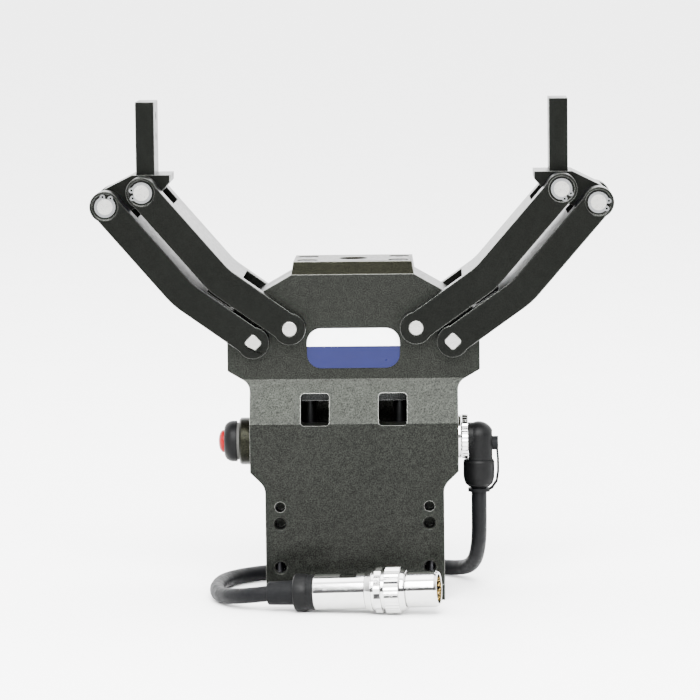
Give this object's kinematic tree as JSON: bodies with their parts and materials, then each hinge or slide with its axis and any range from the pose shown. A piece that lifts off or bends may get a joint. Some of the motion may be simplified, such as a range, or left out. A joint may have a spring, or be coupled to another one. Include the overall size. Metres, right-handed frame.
{
  "type": "electric parallel gripper",
  "caption": "Two-finger parallel gripper: boxy dark housing, parallelogram arms, round push button, side socket and a short cable to a round multi-pin plug.",
  "frame": {"origin": "middle of the mounting face, at the bottom of the body", "axes": "+Z towards the fingers, +X towards the cable socket, front face towards -Y"},
  "size_m": [0.2008, 0.1074, 0.1925],
  "materials": {
    "housing": "dark anodised, fine bead-blasted grain",
    "cap": "olive-brown anodised",
    "arms": "dark anodised, machined",
    "flange": "dark anodised",
    "label": "satin film, two-tone, no lettering",
    "black_screws": "black oxide",
    "bronze": "sintered bronze",
    "bright_steel": "ground steel",
    "dark_steel": "phosphated steel",
    "spring_steel": "spring steel",
    "motor_can": "satin grey",
    "black_plastic": "fine moulded grain",
    "crosshead": "black anodised",
    "brass": "turned",
    "board": "solder mask",
    "seal": "grey washer",
    "red_cap": "moulded, slightly glossy",
    "chrome": "nickel-chrome plated",
    "cable_jacket": "extruded, satin",
    "boot_rubber": "moulded rubber",
    "gold": "gold plated contacts"
  },
  "bodies": {
    "housing": {"mounting_flange": "flange", "front_shell": "housing", "rear_shell": "housing", "top_cap": "cap", "front_label": "label", "cap_screws": "black_screws", "shell_screws": "black_screws", "flange_screws": "black_screws", "pivot_bushes": "bronze", "motor": "motor_can", "motor_encoder": "black_plastic", "gearbox": "motor_can", "motor_plate": "dark_steel", "gearbox_screws": "black_screws", "bearing_outer": "bright_steel", "guide_rods": "dark_steel", "control_board": "board", "button_collar": "cap", "button_seal": "seal", "button_bezel": "black_plastic", "panel_nuts": "bright_steel", "panel_socket": "chrome", "elbow_body": "black_plastic", "elbow_tether": "boot_rubber", "elbow_nut": "black_plastic", "cable": "cable_jacket", "plug_boot": "boot_rubber", "plug_clamp": "black_plastic", "plug_shell": "chrome", "plug_insert": "black_plastic", "plug_pins": "gold"},
    "lead_screw": {"lead_screw": "bright_steel", "shaft_coupling": "bright_steel", "gearbox_shaft": "bright_steel", "bearing_inner": "bright_steel"},
    "crosshead": {"crosshead": "crosshead", "crosshead_nut": "brass", "nut_screws": "black_screws", "guide_bushes": "bronze"},
    "push_cap": {"push_cap": "red_cap"},
    "elbow_ring": {"elbow_ring": "chrome"},
    "plug_ring": {"plug_ring": "chrome"},
    "right_outer_arm": {"right_outer_arm": "arms", "right_drive": "bright_steel"},
    "right_inner_arm": {"right_inner_arm": "arms", "right_inner_pin": "bright_steel"},
    "right_finger": {"right_finger_base": "arms", "right_finger": "arms", "right_finger_pins": "bright_steel", "right_finger_clips": "spring_steel", "right_finger_screws": "black_screws"},
    "left_outer_arm": {"left_outer_arm": "arms", "left_drive": "bright_steel"},
    "left_inner_arm": {"left_inner_arm": "arms", "left_inner_pin": "bright_steel"},
    "left_finger": {"left_finger_base": "arms", "left_finger": "arms", "left_finger_pins": "bright_steel", "left_finger_clips": "spring_steel", "left_finger_screws": "black_screws"}
  },
  "joints": [
    {"name": "right_outer_arm_pivot", "type": "hinge", "parent": "housing", "child": "right_outer_arm", "pos_m": [0.03835, 0, 0.10025], "axis": [0, -1, 0], "range_deg": [0, 56.9]},
    {"name": "right_inner_arm_pivot", "type": "hinge", "parent": "housing", "child": "right_inner_arm", "pos_m": [0.0243, 0, 0.1055], "axis": [0, -1, 0], "range_deg": [0, 56.9]},
    {"name": "right_finger_pivot", "type": "hinge", "parent": "right_outer_arm", "child": "right_finger", "pos_m": [0.09439, 0, 0.15306], "axis": [0, 1, 0], "range_deg": [0, 56.9]},
    {"name": "left_outer_arm_pivot", "type": "hinge", "parent": "housing", "child": "left_outer_arm", "pos_m": [-0.03835, 0, 0.10025], "axis": [0, 1, 0], "range_deg": [0, 56.9]},
    {"name": "left_inner_arm_pivot", "type": "hinge", "parent": "housing", "child": "left_inner_arm", "pos_m": [-0.0243, 0, 0.1055], "axis": [0, 1, 0], "range_deg": [0, 56.9]},
    {"name": "left_finger_pivot", "type": "hinge", "parent": "left_outer_arm", "child": "left_finger", "pos_m": [-0.09439, 0, 0.15306], "axis": [0, -1, 0], "range_deg": [0, 56.9]},
    {"name": "crosshead_slide", "type": "slide", "parent": "housing", "child": "crosshead", "axis": [0, 0, -1], "range_m": [0, 0.00596]},
    {"name": "lead_screw_turn", "type": "hinge", "parent": "housing", "child": "lead_screw", "pos_m": [0, 0, 0.06], "axis": [0, 0, 1], "range_deg": [0, 1073]},
    {"name": "push_cap_travel", "type": "slide", "parent": "housing", "child": "push_cap", "axis": [1, 0, 0], "range_m": [0, 0.0015], "stiffness_N_per_m": 400, "springref_m": -0.001},
    {"name": "elbow_ring_turn", "type": "hinge", "parent": "housing", "child": "elbow_ring", "pos_m": [0.0427, 0, 0.0606], "axis": [1, 0, 0], "continuous": true},
    {"name": "plug_ring_turn", "type": "hinge", "parent": "housing", "child": "plug_ring", "pos_m": [0.01311, -0.05324, 0.00906], "axis": [0.9836, -0.1734, 0.0488], "continuous": true}
  ],
  "couplings": [
    {"joint": "right_inner_arm_pivot", "follows": "right_outer_arm_pivot", "ratio": 1},
    {"joint": "right_finger_pivot", "follows": "right_outer_arm_pivot", "ratio": 1},
    {"joint": "left_outer_arm_pivot", "follows": "right_outer_arm_pivot", "ratio": 1},
    {"joint": "left_inner_arm_pivot", "follows": "right_outer_arm_pivot", "ratio": 1},
    {"joint": "left_finger_pivot", "follows": "right_outer_arm_pivot", "ratio": 1},
    {"joint": "crosshead_slide", "follows": "right_outer_arm_pivot", "m_per_rad": 0.006},
    {"joint": "lead_screw_turn", "follows": "right_outer_arm_pivot", "ratio": 18.85}
  ]
}
